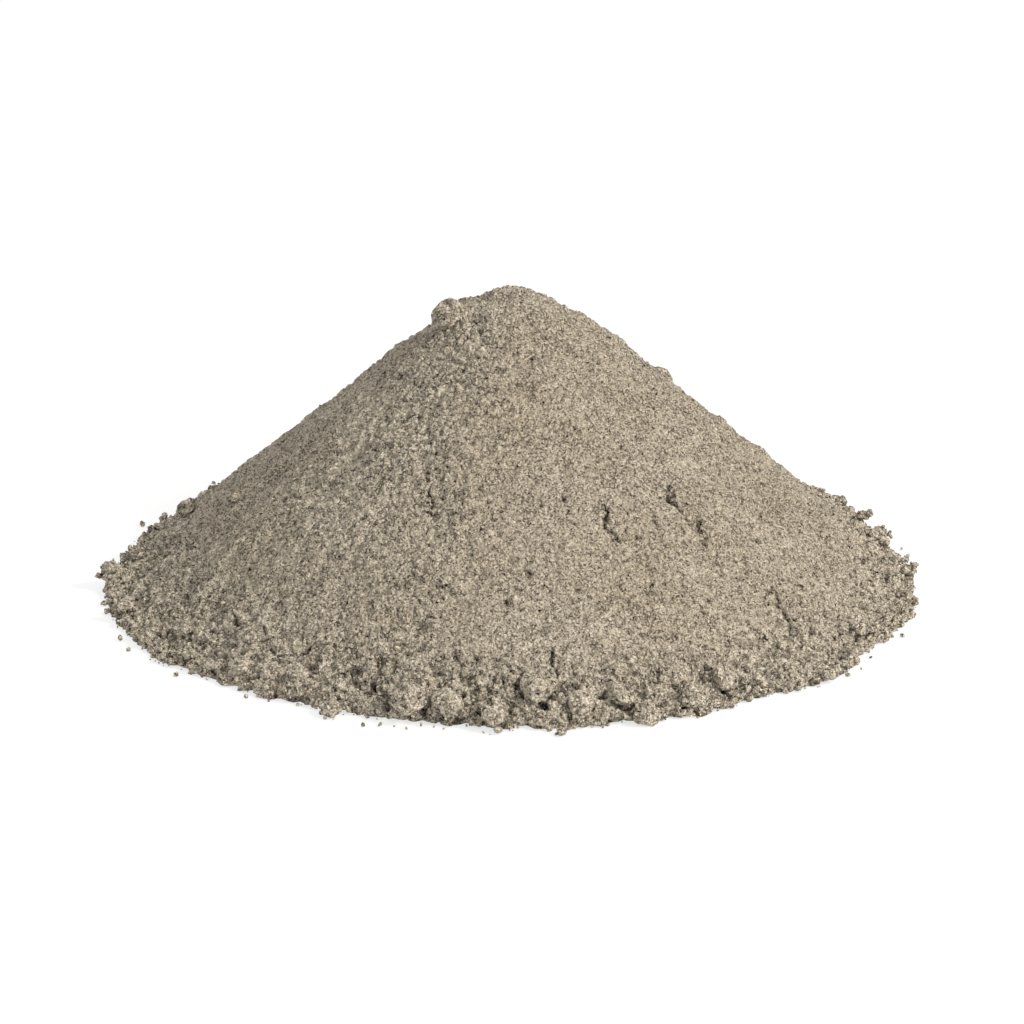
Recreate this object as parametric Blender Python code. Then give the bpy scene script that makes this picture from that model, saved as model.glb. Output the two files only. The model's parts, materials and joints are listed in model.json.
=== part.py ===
"""Poured heap of dry skim coat plaster powder, with the caked clods that lie on it.

Metres, +Z up. The origin is the middle of the round base, on the floor that the heap lies on.
Bearings are in degrees, anticlockwise from +X: 0 is the heap's right, -90 its front, 180 its left.
"""

import math
from typing import NamedTuple

import bmesh
import bpy
from mathutils import Matrix, Vector, noise
from mathutils.bvhtree import BVHTree

MM = 0.001
UP = Vector((0.0, 0.0, 1.0))

# Which of all possible heaps this is: another seed sways the mounds in another way
NOISE_SEED = 1795824739


class Scoop(NamedTuple):
    """One scoop of powder, poured into a cone. Lengths are in millimetres."""

    x: float
    y: float
    top: float
    tip_radius: float
    slope_deg: float


class Lobe(NamedTuple):
    """A stretch of rim that bulges out of the circle, or falls short of it."""

    bearing: float
    bulge: float
    spread_deg: float


class Gully(NamedTuple):
    """A groove that a slide left, from (bearing, reach) at its top to the same at its foot."""

    top: tuple
    foot: tuple
    width: float
    depth: float


class Clod(NamedTuple):
    """A lump of powder that caked together: where it lies, its size, and the turn of its length."""

    name: str
    bearing: float
    reach: float
    length: float
    width: float
    height: float
    turn_deg: float


# The heap's driving sizes, in millimetres
RIM_RADIUS = 122.4
FOOT_SOFTNESS = 10.0
SCOOP_BLEND = 0.9

# The shoulders fall away faster than the crown, which buries their feet
CROWN = Scoop(x=-0.7, y=0.0, top=90.1, tip_radius=16.0, slope_deg=42.0)
RIGHT_SHOULDER = Scoop(x=21.0, y=3.0, top=79.6, tip_radius=9.0, slope_deg=53.0)
LEFT_SHOULDER = Scoop(x=-17.0, y=2.0, top=80.2, tip_radius=8.0, slope_deg=52.0)
BACK_SHOULDER = Scoop(x=5.0, y=20.0, top=79.0, tip_radius=11.0, slope_deg=50.0)
SCOOPS = [CROWN, RIGHT_SHOULDER, LEFT_SHOULDER, BACK_SHOULDER]

RIM_LOBES = [
    Lobe(bearing=-167.0, bulge=2.6, spread_deg=8.0),
    Lobe(bearing=-150.0, bulge=3.0, spread_deg=11.0),
    Lobe(bearing=-105.0, bulge=-2.2, spread_deg=16.0),
    Lobe(bearing=-84.0, bulge=1.8, spread_deg=6.0),
    Lobe(bearing=-75.0, bulge=-1.8, spread_deg=4.0),
    Lobe(bearing=-66.0, bulge=2.4, spread_deg=6.0),
    Lobe(bearing=-43.0, bulge=3.4, spread_deg=7.0),
    Lobe(bearing=-19.0, bulge=3.4, spread_deg=8.0),
    Lobe(bearing=16.0, bulge=-5.0, spread_deg=15.0),
    Lobe(bearing=62.0, bulge=-2.4, spread_deg=20.0),
    Lobe(bearing=104.0, bulge=2.8, spread_deg=16.0),
    Lobe(bearing=158.0, bulge=-4.4, spread_deg=15.0),
]

# The first is the broad hollow of the left flank, the others are narrow slides
GULLIES = [
    Gully(top=(179.0, 36.0), foot=(174.0, 106.0), width=44.0, depth=2.3),
    Gully(top=(-136.0, 40.0), foot=(-107.0, 72.0), width=6.5, depth=2.0),
    Gully(top=(-168.0, 56.0), foot=(-165.0, 88.0), width=6.0, depth=3.4),
    Gully(top=(-165.0, 88.0), foot=(-175.0, 108.0), width=6.5, depth=2.4),
    Gully(top=(-46.0, 25.0), foot=(-60.0, 50.0), width=6.0, depth=1.9),
    Gully(top=(-68.0, 68.0), foot=(-62.0, 92.0), width=5.0, depth=1.3),
    Gully(top=(-40.0, 95.0), foot=(-45.0, 116.0), width=5.0, depth=1.6),
    Gully(top=(-143.0, 62.0), foot=(-147.0, 104.0), width=8.0, depth=1.7),
    Gully(top=(38.0, 30.0), foot=(30.0, 88.0), width=7.0, depth=2.2),
    Gully(top=(92.0, 44.0), foot=(100.0, 84.0), width=7.0, depth=1.8),
    Gully(top=(140.0, 34.0), foot=(128.0, 96.0), width=7.5, depth=2.3),
]

# Broad lumpiness of the poured surface, and the uneven line of its edge
LUMP_SIZE = 17.0
LUMP_DEPTH = 0.9
LUMP_OCTAVES = 3
RIM_WAVE_SIZE = 11.0
RIM_WAVE_DEPTH = 1.3

# Crumbs that rolled down heap up in mounds with creases between: shallow on the flank, and
# deep on the skirt, which reaches this high up
MOUND_SPACING = 13.0
MOUND_CREASE = 0.4
MOUND_SWAY = 5.0
MOUND_MEAN = 0.68
FLANK_MOUND_DEPTH = 1.2
SKIRT_MOUND_DEPTH = 3.4
SKIRT_TOP = 30.0

# The heap ends in a low step of crumbs, and not in a feather edge
TOE_HEIGHT = 2.4
TOE_WIDTH = 1.6
UNDERSIDE_FACING = -0.5

# The heap's mesh: six sectors, each cut into this many rings
SECTORS = 6
RINGS = 35
SHARP_EDGE_DEG = 60.0

# How a clod beds in, and how lumpy it is; a share is of the clod's own height or radius
SEAT_GAP = 0.35
SEAT_PASSES = 5
SUNK_SHARE = 0.16
CLOD_LUMPINESS = 0.24
CLOD_LUMPS_ACROSS = 2.4
CLOD_OCTAVES = 2
BIG_CLOD = 5.5
BIG_CLOD_SUBDIVISIONS = 3
SMALL_CLOD_SUBDIVISIONS = 2

# Falling off and spacing of the lumps' octaves, for the heap and the clods alike
OCTAVE_DIMENSION = 0.8
OCTAVE_STEP = 2.0
CLOD_NOISE_STEP = Vector((3.7, 1.3, 0.0))

CLODS = [
    Clod("summit_clod", -158.0, 18.6, 10.6, 9.8, 8.4, 20.0),
    Clod("back_left_clod", 169.0, 101.5, 7.2, 6.0, 5.0, 10.0),
    Clod("back_left_pebble", 166.0, 114.5, 3.6, 3.2, 2.9, 0.0),
    Clod("left_gully_clod", -172.0, 84.0, 4.4, 3.6, 3.2, 60.0),
    Clod("left_tip_clod", -172.7, 121.0, 6.8, 6.0, 5.6, 80.0),
    Clod("left_rim_clod", -160.0, 121.5, 5.2, 4.4, 3.8, 10.0),
    Clod("left_skirt_clod", -146.0, 113.0, 5.4, 4.8, 4.2, 35.0),
    Clod("front_left_clod_1", -131.0, 117.0, 6.0, 5.2, 4.4, 70.0),
    Clod("front_left_clod_2", -122.0, 113.0, 6.6, 5.6, 4.8, 15.0),
    Clod("front_left_clod_3", -114.2, 122.4, 5.6, 5.2, 4.8, 120.0),
    Clod("front_clod_1", -103.9, 117.6, 9.8, 8.8, 8.2, 50.0),
    Clod("front_clod_2", -98.9, 117.9, 8.2, 8.0, 7.6, 5.0),
    Clod("front_clod_3", -92.4, 120.2, 8.0, 7.2, 6.8, 75.0),
    Clod("front_clod_4", -86.8, 112.4, 8.8, 7.2, 6.2, 0.0),
    Clod("front_clod_5", -80.9, 116.8, 7.0, 6.2, 5.4, 100.0),
    Clod("front_clod_6", -75.4, 115.5, 7.0, 6.4, 5.8, 40.0),
    Clod("front_clod_7", -72.0, 121.2, 7.0, 6.0, 5.2, 10.0),
    Clod("front_pebble_1", -91.6, 124.0, 3.4, 2.8, 2.4, 0.0),
    Clod("front_pebble_2", -83.8, 125.8, 4.2, 3.0, 2.4, 85.0),
    Clod("front_right_clod_1", -65.2, 120.6, 8.4, 7.8, 7.2, 60.0),
    Clod("front_right_clod_2", -59.1, 115.2, 7.2, 5.4, 5.0, 140.0),
    Clod("front_right_clod_3", -44.2, 124.6, 4.4, 4.0, 3.8, 30.0),
    Clod("right_rim_clod_1", -30.0, 118.0, 5.2, 4.4, 3.8, 0.0),
    Clod("right_rim_clod_2", -6.2, 120.8, 5.4, 4.8, 4.4, 70.0),
    Clod("right_tip_clod", 3.2, 114.5, 4.0, 3.6, 3.2, 100.0),
    Clod("right_back_clod_1", 9.8, 115.0, 6.0, 5.4, 5.0, 45.0),
    Clod("right_back_clod_2", 16.2, 115.0, 3.8, 3.2, 3.0, 0.0),
    Clod("right_back_clod_3", 21.6, 111.4, 4.2, 3.8, 3.4, 30.0),
    Clod("back_clod_1", 50.0, 113.0, 7.4, 6.4, 5.6, 75.0),
    Clod("back_clod_2", 63.0, 116.5, 5.4, 4.8, 4.2, 20.0),
    Clod("back_clod_3", 77.0, 116.0, 8.6, 7.6, 6.8, 110.0),
    Clod("back_clod_4", 88.0, 121.0, 5.4, 5.0, 4.4, 50.0),
    Clod("back_clod_5", 101.0, 119.0, 7.8, 6.8, 6.0, 5.0),
    Clod("back_clod_6", 116.0, 116.0, 5.4, 5.2, 4.6, 65.0),
    Clod("back_clod_7", 134.0, 117.0, 7.0, 6.0, 5.2, 130.0),
]

POWDER_COLOUR = (0.447, 0.381, 0.296, 1.0)
CLOD_COLOUR = (0.418, 0.352, 0.270, 1.0)
POWDER_ROUGHNESS = 0.95


def clear_scene():
    """Remove every object that the file opened with."""
    for obj in list(bpy.data.objects):
        bpy.data.objects.remove(obj, do_unlink=True)


def dry_powder(name, colour):
    """Return a matt, dusty material of one colour."""
    material = bpy.data.materials.new(name)
    material.use_nodes = True
    shader = material.node_tree.nodes["Principled BSDF"]
    shader.inputs["Base Color"].default_value = colour
    shader.inputs["Roughness"].default_value = POWDER_ROUGHNESS
    shader.inputs["Metallic"].default_value = 0.0
    material.diffuse_color = colour
    return material


def on_bearing(bearing, reach):
    """Return the plan position that lies this far from the middle, on this bearing."""
    angle = math.radians(bearing)
    return Vector((reach * math.cos(angle), reach * math.sin(angle)))


def bearing_of(place):
    """Return the bearing of a plan position in degrees."""
    return math.degrees(math.atan2(place.y, place.x))


def bell(distance, spread):
    """Return 1 at no distance, falling smoothly to nothing past the spread."""
    return math.exp(-((distance / spread) ** 2))


def soft_maximum(values, blend):
    """Return the highest value, rounded where two of them are nearly level."""
    highest = max(values)
    return highest + blend * math.log(sum(math.exp((value - highest) / blend) for value in values))


def cone_height(scoop, place):
    """Return the height of one scoop's cone at a plan position, in millimetres."""
    away = (place - Vector((scoop.x, scoop.y))).length
    fall = math.hypot(away, scoop.tip_radius) - scoop.tip_radius
    return scoop.top - math.tan(math.radians(scoop.slope_deg)) * fall


def gully_depth(place):
    """Return how far the slides have cut the surface down at a plan position."""
    depth = 0.0
    for gully in GULLIES:
        top = on_bearing(*gully.top)
        run = on_bearing(*gully.foot) - top
        share = max(0.0, min(1.0, (place - top).dot(run) / run.length_squared))
        aside = (place - top - run * share).length
        depth += gully.depth * bell(aside, 0.5 * gully.width)
    return depth


def mound_rise(place, height):
    """Return how far the mounds of rolled crumbs lift the surface, or a crease lowers it."""
    spot = place.to_3d()
    swayed = spot + MOUND_SWAY * noise.noise_vector(spot / (2.0 * MOUND_SPACING))
    nearest, second = noise.voronoi(swayed / MOUND_SPACING)[0][:2]
    top = min(1.0, (second - nearest) / MOUND_CREASE)
    skirt_share = max(0.0, 1.0 - height / SKIRT_TOP)
    depth = FLANK_MOUND_DEPTH + (SKIRT_MOUND_DEPTH - FLANK_MOUND_DEPTH) * skirt_share
    return depth * (top * (2.0 - top) - MOUND_MEAN)


def surface_height(place):
    """Return the height of the powder at a plan position inside the rim, in millimetres."""
    cone = soft_maximum([cone_height(scoop, place) for scoop in SCOOPS], SCOOP_BLEND)
    eased_foot = 0.5 * (cone + math.hypot(cone, FOOT_SOFTNESS))
    spot = place.to_3d() / LUMP_SIZE
    lumps = LUMP_DEPTH * noise.fractal(spot, OCTAVE_DIMENSION, OCTAVE_STEP, LUMP_OCTAVES)
    relief = lumps + mound_rise(place, eased_foot) - gully_depth(place)
    return max(TOE_HEIGHT, eased_foot + relief)


def rim_radius(bearing):
    """Return how far the edge of the heap is from the middle on a bearing, in millimetres."""
    radius = RIM_RADIUS
    for lobe in RIM_LOBES:
        apart = abs((bearing - lobe.bearing + 180.0) % 360.0 - 180.0)
        radius += lobe.bulge * bell(apart, lobe.spread_deg)
    edge = on_bearing(bearing, RIM_RADIUS).to_3d()
    return radius + RIM_WAVE_DEPTH * noise.noise(edge / RIM_WAVE_SIZE)


def share_of_the_way_out(place):
    """Return 0 at the middle of the unit hexagon and 1 anywhere on its outline."""
    sector = 360.0 / SECTORS
    off_middle = math.radians(bearing_of(place) % sector - 0.5 * sector)
    outline = math.cos(math.radians(0.5 * sector)) / math.cos(off_middle)
    return place.length / outline


def build_heap(material):
    """Build the powder heap: one closed solid with a flat underside."""
    mesh = bmesh.new()
    bmesh.ops.create_circle(mesh, cap_ends=True, cap_tris=True, segments=SECTORS, radius=1.0)
    quarter_turn = Matrix.Rotation(math.radians(90.0), 3, "Z")
    bmesh.ops.rotate(mesh, verts=mesh.verts, matrix=quarter_turn)
    bmesh.ops.subdivide_edges(mesh, edges=mesh.edges, cuts=RINGS - 1, use_grid_fill=True)
    for vert in mesh.verts:
        flat = vert.co.xy
        bearing = bearing_of(flat)
        reach = share_of_the_way_out(flat) * (rim_radius(bearing) - TOE_WIDTH)
        place = on_bearing(bearing, reach)
        vert.co = (*place, surface_height(place))

    rim = [edge for edge in mesh.edges if edge.is_boundary]
    toe = bmesh.ops.extrude_edge_only(mesh, edges=rim)["geom"]
    for vert in (element for element in toe if isinstance(element, bmesh.types.BMVert)):
        bearing = bearing_of(vert.co.xy)
        vert.co = (*on_bearing(bearing, rim_radius(bearing)), 0.0)
    foot = [edge for edge in mesh.edges if edge.is_boundary]
    bmesh.ops.contextual_create(mesh, geom=foot)
    bmesh.ops.recalc_face_normals(mesh, faces=mesh.faces)
    heap = finish_object(mesh, "powder_heap", material, Vector((0.0, 0.0, 0.0)))
    heap.data.set_sharp_from_angle(angle=math.radians(SHARP_EDGE_DEG))
    return heap


def finish_object(mesh, name, material, origin):
    """Turn a bmesh in millimetres into a named object in metres, with its origin at a place."""
    bmesh.ops.translate(mesh, verts=mesh.verts, vec=-origin)
    bmesh.ops.scale(mesh, verts=mesh.verts, vec=(MM, MM, MM))
    data = bpy.data.meshes.new(name)
    mesh.to_mesh(data)
    mesh.free()
    data.materials.append(material)
    data.shade_smooth()
    obj = bpy.data.objects.new(name, data)
    obj.location = origin * MM
    bpy.context.scene.collection.objects.link(obj)
    return obj


def upper_surface(heap):
    """Return a search tree of the heap's skin in millimetres, without its flat underside."""
    mesh = bmesh.new()
    mesh.from_mesh(heap.data)
    bmesh.ops.scale(mesh, verts=mesh.verts, vec=(1.0 / MM, 1.0 / MM, 1.0 / MM))
    underside = [face for face in mesh.faces if face.normal.z < UNDERSIDE_FACING]
    bmesh.ops.delete(mesh, geom=underside, context="FACES")
    skin = BVHTree.FromBMesh(mesh)
    mesh.free()
    return skin


def ground_under(skin, place):
    """Return the point and the slope's normal that a clod at a plan position lies on."""
    overhead = place.to_3d() + UP * 2.0 * CROWN.top
    point, normal, _, _ = skin.ray_cast(overhead, -UP)
    if point is None:
        return place.to_3d(), UP.copy()
    return point, normal


def move_clear(skin, spot):
    """Return the move that brings a spot of a clod clear of the heap, or no move at all."""
    point, normal, _, _ = skin.find_nearest(spot)
    short = SEAT_GAP - (spot - point).dot(normal)
    return normal * max(0.0, short)


def seat_on(skin, mesh):
    """Push a clod's skin out of the heap and up off the floor, as loose powder beds it."""
    for _ in range(SEAT_PASSES):
        for vert in mesh.verts:
            vert.co.z = max(0.0, vert.co.z)
            vert.co += move_clear(skin, vert.co)
        for element in [*mesh.edges, *mesh.faces]:
            middle = sum((vert.co for vert in element.verts), Vector()) / len(element.verts)
            move = move_clear(skin, middle)
            for vert in element.verts:
                vert.co += move
    for vert in mesh.verts:
        vert.co.z = max(0.0, vert.co.z)


def build_clod(clod, skin, place_in_row, material):
    """Build one caked clod, bedded where it lies."""
    is_big = clod.length > BIG_CLOD
    mesh = bmesh.new()
    bmesh.ops.create_icosphere(
        mesh,
        subdivisions=BIG_CLOD_SUBDIVISIONS if is_big else SMALL_CLOD_SUBDIVISIONS,
        radius=0.5,
    )
    for vert in mesh.verts:
        spot = vert.co * CLOD_LUMPS_ACROSS + CLOD_NOISE_STEP * place_in_row
        lump = noise.fractal(spot, OCTAVE_DIMENSION, OCTAVE_STEP, CLOD_OCTAVES)
        vert.co *= 1.0 + CLOD_LUMPINESS * lump

    point, normal = ground_under(skin, on_bearing(clod.bearing, clod.reach))
    middle = point + normal * clod.height * (0.5 - SUNK_SHARE)
    lean = UP.rotation_difference(normal).to_matrix().to_4x4()
    turn = Matrix.Rotation(math.radians(clod.turn_deg), 4, "Z")
    size = Matrix.Diagonal((clod.length, clod.width, clod.height, 1.0))
    placing = Matrix.Translation(middle) @ lean @ turn @ size
    bmesh.ops.transform(mesh, verts=mesh.verts, matrix=placing)
    seat_on(skin, mesh)
    return finish_object(mesh, clod.name, material, middle)


def main():
    """Build the heap, then bed each clod on it."""
    noise.seed_set(NOISE_SEED)
    clear_scene()
    powder = dry_powder("skim_coat_powder", POWDER_COLOUR)
    caked = dry_powder("caked_powder", CLOD_COLOUR)
    heap = build_heap(powder)
    skin = upper_surface(heap)
    for place_in_row, clod in enumerate(CLODS, start=1):
        build_clod(clod, skin, place_in_row, caked)


main()
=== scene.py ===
"""Looks of a poured heap of dry skim coat plaster powder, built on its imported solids.

Lengths in the classes are in millimetres, and meshes are in metres. Bearings are in degrees,
anticlockwise from +X: 0 is the heap's right, -90 its front and 180 its left.
"""

import json
import logging
import math
import random
from collections.abc import Callable
from dataclasses import dataclass, field
from enum import Enum

import bmesh
import bpy
import numpy as np
from bpy.types import Collection, Material, NodeSocket, NodeTree, Object
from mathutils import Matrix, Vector, noise
from mathutils.bvhtree import BVHTree

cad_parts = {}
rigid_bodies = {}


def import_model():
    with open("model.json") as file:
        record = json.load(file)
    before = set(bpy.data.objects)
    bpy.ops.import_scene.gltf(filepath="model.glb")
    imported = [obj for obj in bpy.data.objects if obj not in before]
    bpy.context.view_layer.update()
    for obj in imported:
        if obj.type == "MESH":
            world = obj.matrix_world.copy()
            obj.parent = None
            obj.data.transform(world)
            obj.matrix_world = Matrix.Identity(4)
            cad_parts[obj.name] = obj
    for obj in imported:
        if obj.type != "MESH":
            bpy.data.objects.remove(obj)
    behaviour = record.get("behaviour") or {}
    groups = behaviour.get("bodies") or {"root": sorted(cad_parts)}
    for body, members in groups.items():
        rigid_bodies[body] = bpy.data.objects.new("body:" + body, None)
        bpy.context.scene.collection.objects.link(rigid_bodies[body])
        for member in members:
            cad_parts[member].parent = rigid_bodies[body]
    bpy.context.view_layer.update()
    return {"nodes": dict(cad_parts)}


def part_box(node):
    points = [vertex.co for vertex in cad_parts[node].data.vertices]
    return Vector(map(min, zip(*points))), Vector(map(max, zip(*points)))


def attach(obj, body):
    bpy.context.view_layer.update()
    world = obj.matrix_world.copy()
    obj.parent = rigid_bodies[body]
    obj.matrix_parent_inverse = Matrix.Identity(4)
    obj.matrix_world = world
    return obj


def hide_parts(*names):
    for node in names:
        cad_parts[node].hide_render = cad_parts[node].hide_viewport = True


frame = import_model()

MM = 0.001
UP = Vector((0.0, 0.0, 1.0))
FLOOR_LEVEL = 0.01 * MM
WELD = 0.001 * MM
NOISE_SEED = 7
SECTOR_ANGLE = 60
# How many radii a soft round place reaches before it is left out of the sum.
SPOT_REACH = 2.4
# How a crack's line wanders off its path: the reach, fineness and start of each layer of noise.
WANDER_ACROSS = ((1.5, 0.35, 0.0), (0.9, 0.9, 0.0))
WANDER_ALONG = ((1.2, 0.4, 9.0), (0.6, 1.1, 1.0))
CRACK_TAPER = 0.12
# How a crumb's own level and its dome share its height, and where the line between two crumbs is.
CRUMB_LEVEL = 0.5
CRUMB_DOME = 1.1
CRUMB_LINE = (0.16, 0.03)
# How far apart crumbs lie in the noise that gives each its own level.
CHANCE_STEP = 37.0
HEAP_NODE = "powder_heap"
BODY = "root"

log = logging.getLogger("plaster_heap")


class Slot(Enum):
    """The record's material slots."""

    LOOSE = "skim_coat_powder"
    CAKED = "caked_powder"


class Sector(Enum):
    """The six wedges that the skin is made in, by the bearing that each starts from."""

    BACK_RIGHT = 0
    BACK = 60
    BACK_LEFT = 120
    FRONT_LEFT = 180
    FRONT = 240
    FRONT_RIGHT = 300


class Kind(Enum):
    """How finely a loose bit's shape is cut: divisions of the ball that it starts from."""

    GRAIN = 1
    CRUMB = 2
    LUMP = 3


def linear_colour(hex_colour: str) -> tuple[float, float, float, float]:
    """Turn an sRGB hex colour into linear RGBA.

    Args:
        hex_colour: six hex digits, such as "b3a693".

    Returns:
        The linear red, green and blue, and an alpha of 1.
    """
    channels = [int(hex_colour[start:start + 2], 16) / 255.0 for start in (0, 2, 4)]
    linear = [c / 12.92 if c <= 0.04045 else ((c + 0.055) / 1.055) ** 2.4 for c in channels]
    return (*linear, 1.0)


def add_node(
    tree: NodeTree, kind: str, inputs: dict, output: object = 0, **settings: object
) -> NodeSocket:
    """Add a node, set it up and connect it.

    Args:
        tree: the node tree that it goes in.
        kind: the node's type name.
        inputs: input name or number to a socket to connect, or a value to set.
        output: the name or number of the output that is wanted.
        settings: the node's own properties.

    Returns:
        The wanted output of the new node, or the node itself if it has none.
    """
    node = tree.nodes.new(kind)
    for name, value in settings.items():
        setattr(node, name, value)
    for name, value in inputs.items():
        if isinstance(value, NodeSocket):
            tree.links.new(value, node.inputs[name])
        else:
            node.inputs[name].default_value = value
    return node.outputs[output] if node.outputs else node


def per_metre(size: float) -> float:
    """Return the texture scale that makes a pattern as coarse as a size in millimetres."""
    return 1.0 / (size * MM)


def smooth_step(low: float, high: float, value: float) -> float:
    """Return 0 before low, 1 past high, and a smooth change between; low may be the larger."""
    share = max(0.0, min(1.0, (value - low) / (high - low)))
    return share * share * (3.0 - 2.0 * share)


def blend(ends: tuple[float, float], share: float) -> float:
    """Return the value that lies a share of the way from the first end to the second."""
    return ends[0] + (ends[1] - ends[0]) * share


@dataclass(frozen=True)
class Hollows:
    """Little hollows between crumbs, wherever one layer of noise dips low, darkened with painted shade.

    size is how coarse the noise is, level how low it is where a hollow starts, edge how much
    lower it is at the middle, where the painted shade is darkest, and when_loose how much the level rises in
    loose powder. shade is how much painted shade darkens the hollows, and depth how deep their bump is.
    """

    size: float
    level: float
    edge: float
    when_loose: float
    shade: float
    depth: float


@dataclass(frozen=True)
class Seams:
    """Open seams round crumbs of one size: thin crescents darkened with painted shade, here and there.

    width is how wide a seam is, as a share of the size. A seam opens where noise is over the
    opening level, which falls by when_loose in loose powder.
    """

    size: float
    width: float
    opening: float
    when_loose: float
    shade: float
    depth: float


@dataclass(frozen=True)
class Crumbs:
    """Crumbs of one size, each domed, at its own level and with its own tint."""

    size: float
    dome: float
    level: float
    tint: float


@dataclass(frozen=True)
class DryPowder:
    """Skim coat plaster powder: cement, fine lime filler and sand, ground, poured and dry.

    It has no gloss at all. Dust clings together in crumbs, so the eye sees pale matt tops that
    are peppered with short specks of painted shade, where it looks in between the crumbs, and faint
    broad changes of tone where finer dust has settled. Loose powder is painted paler, a painted lift
    against the shade among its crumbs. The grain itself is too fine to show, and its tints are drawn
    on crumbs of about 0.4 mm.
    """

    name: str = "dry_powder"
    # painted light: loose powder is mixed towards this paler colour, a painted lift that offsets the shade
    # among its crumbs
    loose_painted_light: str = "f4e9d6"
    pale: str = "dfd4c2"
    middle: str = "d6cab6"
    dusty: str = "857862"
    # painted shade: hollows, seams and the mesh's gaps are mixed towards this near-black colour
    painted_shade_colour: str = "2c241a"
    roughness: float = 0.97
    ior: float = 1.5
    specular: float = 0.1
    noise_detail: float = 2.5
    # the shade of specks, pores and seams is painted shade in the hollows between crumbs; their depth is bump
    specks: Hollows = Hollows(size=0.62, level=0.445, edge=0.07, when_loose=-0.06, shade=0.62, depth=0.5)
    pores: Hollows = Hollows(size=2.3, level=0.35, edge=0.04, when_loose=0.02, shade=0.5, depth=0.6)
    seams: tuple[Seams, ...] = (
        Seams(size=1.9, width=0.1, opening=0.58, when_loose=0.08, shade=0.5, depth=0.6),
        Seams(size=1.1, width=0.22, opening=0.58, when_loose=0.04, shade=0.5, depth=0.4),
    )
    seam_patch: float = 1.4
    seam_edge: float = 0.08
    crumbs: tuple[Crumbs, ...] = (
        Crumbs(size=2.1, dome=0.6, level=0.45, tint=0.1),
        Crumbs(size=0.95, dome=0.75, level=0.55, tint=0.1),
        Crumbs(size=0.42, dome=0.3, level=0.35, tint=0.65),
    )
    mottle: float = 3.4
    mottle_depth: float = 0.6
    tone_patch: float = 26.0
    tone_range: tuple[float, float] = (0.35, 0.65)
    unrest_patch: float = 8.0
    unrest: float = 6.0
    gap_shade: float = 0.6
    warp: float = 1.5
    warp_reach: float = 0.9

    def material(self) -> Material:
        """Make the powder's material.

        Returns:
            The new material.
        """
        made = bpy.data.materials.new(self.name)
        made.use_nodes = True
        made.diffuse_color = linear_colour(self.middle)
        tree = made.node_tree
        shader = tree.nodes["Principled BSDF"]
        shader.inputs["Roughness"].default_value = self.roughness
        shader.inputs["IOR"].default_value = self.ior
        shader.inputs["Specular IOR Level"].default_value = self.specular

        spot = self._warped_place(tree)
        unrest = self._unrest(tree, spot)
        specks = self._dips(tree, spot, unrest, self.specks)
        pores = self._dips(tree, spot, unrest, self.pores)
        reliefs = [
            (specks, -self.specks.depth),
            (pores, -self.pores.depth),
            (self._noise(tree, spot, self.mottle), self.mottle_depth),
        ]
        # painted shade: specks, pores and seams darken the colour, as shade in the hollows between crumbs
        darks = [(specks, self.specks.shade), (pores, self.pores.shade)]
        for seams in self.seams:
            seam = self._seam(tree, spot, unrest, seams)
            reliefs.append((seam, -seams.depth))
            darks.append((seam, seams.shade))
        tint = 0.0
        for crumbs in self.crumbs:
            distance, chance = self._cells(tree, spot, crumbs.size)
            reliefs += [(distance, -crumbs.dome), (chance, crumbs.level)]
            tint = self._add_share(tree, chance.node.outputs[1], crumbs.tint, tint)
        # the painted shade darkens the tone towards the near-black shade colour
        painted_darkness = self._painted_shade(tree, darks)
        tone = self._tone(tree, spot, tint)
        shades = {0: painted_darkness, 6: tone, 7: linear_colour(self.painted_shade_colour)}
        colour = add_node(tree, "ShaderNodeMix", shades, 2, data_type="RGBA")
        tree.links.new(colour, shader.inputs["Base Color"])

        height = 0.0
        for source, depth in reliefs:
            height = self._add_share(tree, source, depth * MM, height)
        bump = add_node(tree, "ShaderNodeBump", {"Height": height, "Distance": 1.0})
        tree.links.new(bump, shader.inputs["Normal"])
        return made

    def _noise(self, tree: NodeTree, spot: NodeSocket, size: float, output: str = "Fac") -> NodeSocket:
        """Return noise as coarse as a size in millimetres, with finer noise in it."""
        inputs = {"Vector": spot, "Scale": per_metre(size), "Detail": self.noise_detail}
        return add_node(tree, "ShaderNodeTexNoise", inputs, output)

    def _warped_place(self, tree: NodeTree) -> NodeSocket:
        """Push the object coordinates about, so that no pattern shows straight lines.

        Args:
            tree: the material's node tree.

        Returns:
            The pushed coordinates.
        """
        place = add_node(tree, "ShaderNodeTexCoord", {}, "Object")
        push = self._noise(tree, place, self.warp, "Color")
        centring = {0: push, 1: (0.5, 0.5, 0.5)}
        centred = add_node(tree, "ShaderNodeVectorMath", centring, operation="SUBTRACT")
        moved = {0: centred, 1: (self.warp_reach * MM,) * 3, 2: place}
        return add_node(tree, "ShaderNodeVectorMath", moved, operation="MULTIPLY_ADD")

    @staticmethod
    def _add_share(
        tree: NodeTree, source: NodeSocket, share: float, before: NodeSocket | float
    ) -> NodeSocket:
        """Return a share of one value on top of the sum so far."""
        step = {0: source, 1: share, 2: before}
        return add_node(tree, "ShaderNodeMath", step, operation="MULTIPLY_ADD")

    def _unrest(self, tree: NodeTree, spot: NodeSocket) -> NodeSocket:
        """Work out how broken up the surface is: in patches, and more where the powder is loose.

        Args:
            tree: the material's node tree.
            spot: the place in the powder.

        Returns:
            About 0 where the powder lies smooth, and more where it is broken up.
        """
        patch = self._noise(tree, spot, self.unrest_patch)
        loose = add_node(tree, "ShaderNodeAttribute", {}, "Fac", attribute_name="loose")
        patch = self._add_share(tree, patch, self.unrest, -0.5 * self.unrest)
        return add_node(tree, "ShaderNodeMath", {0: patch, 1: loose}, operation="ADD")

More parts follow.
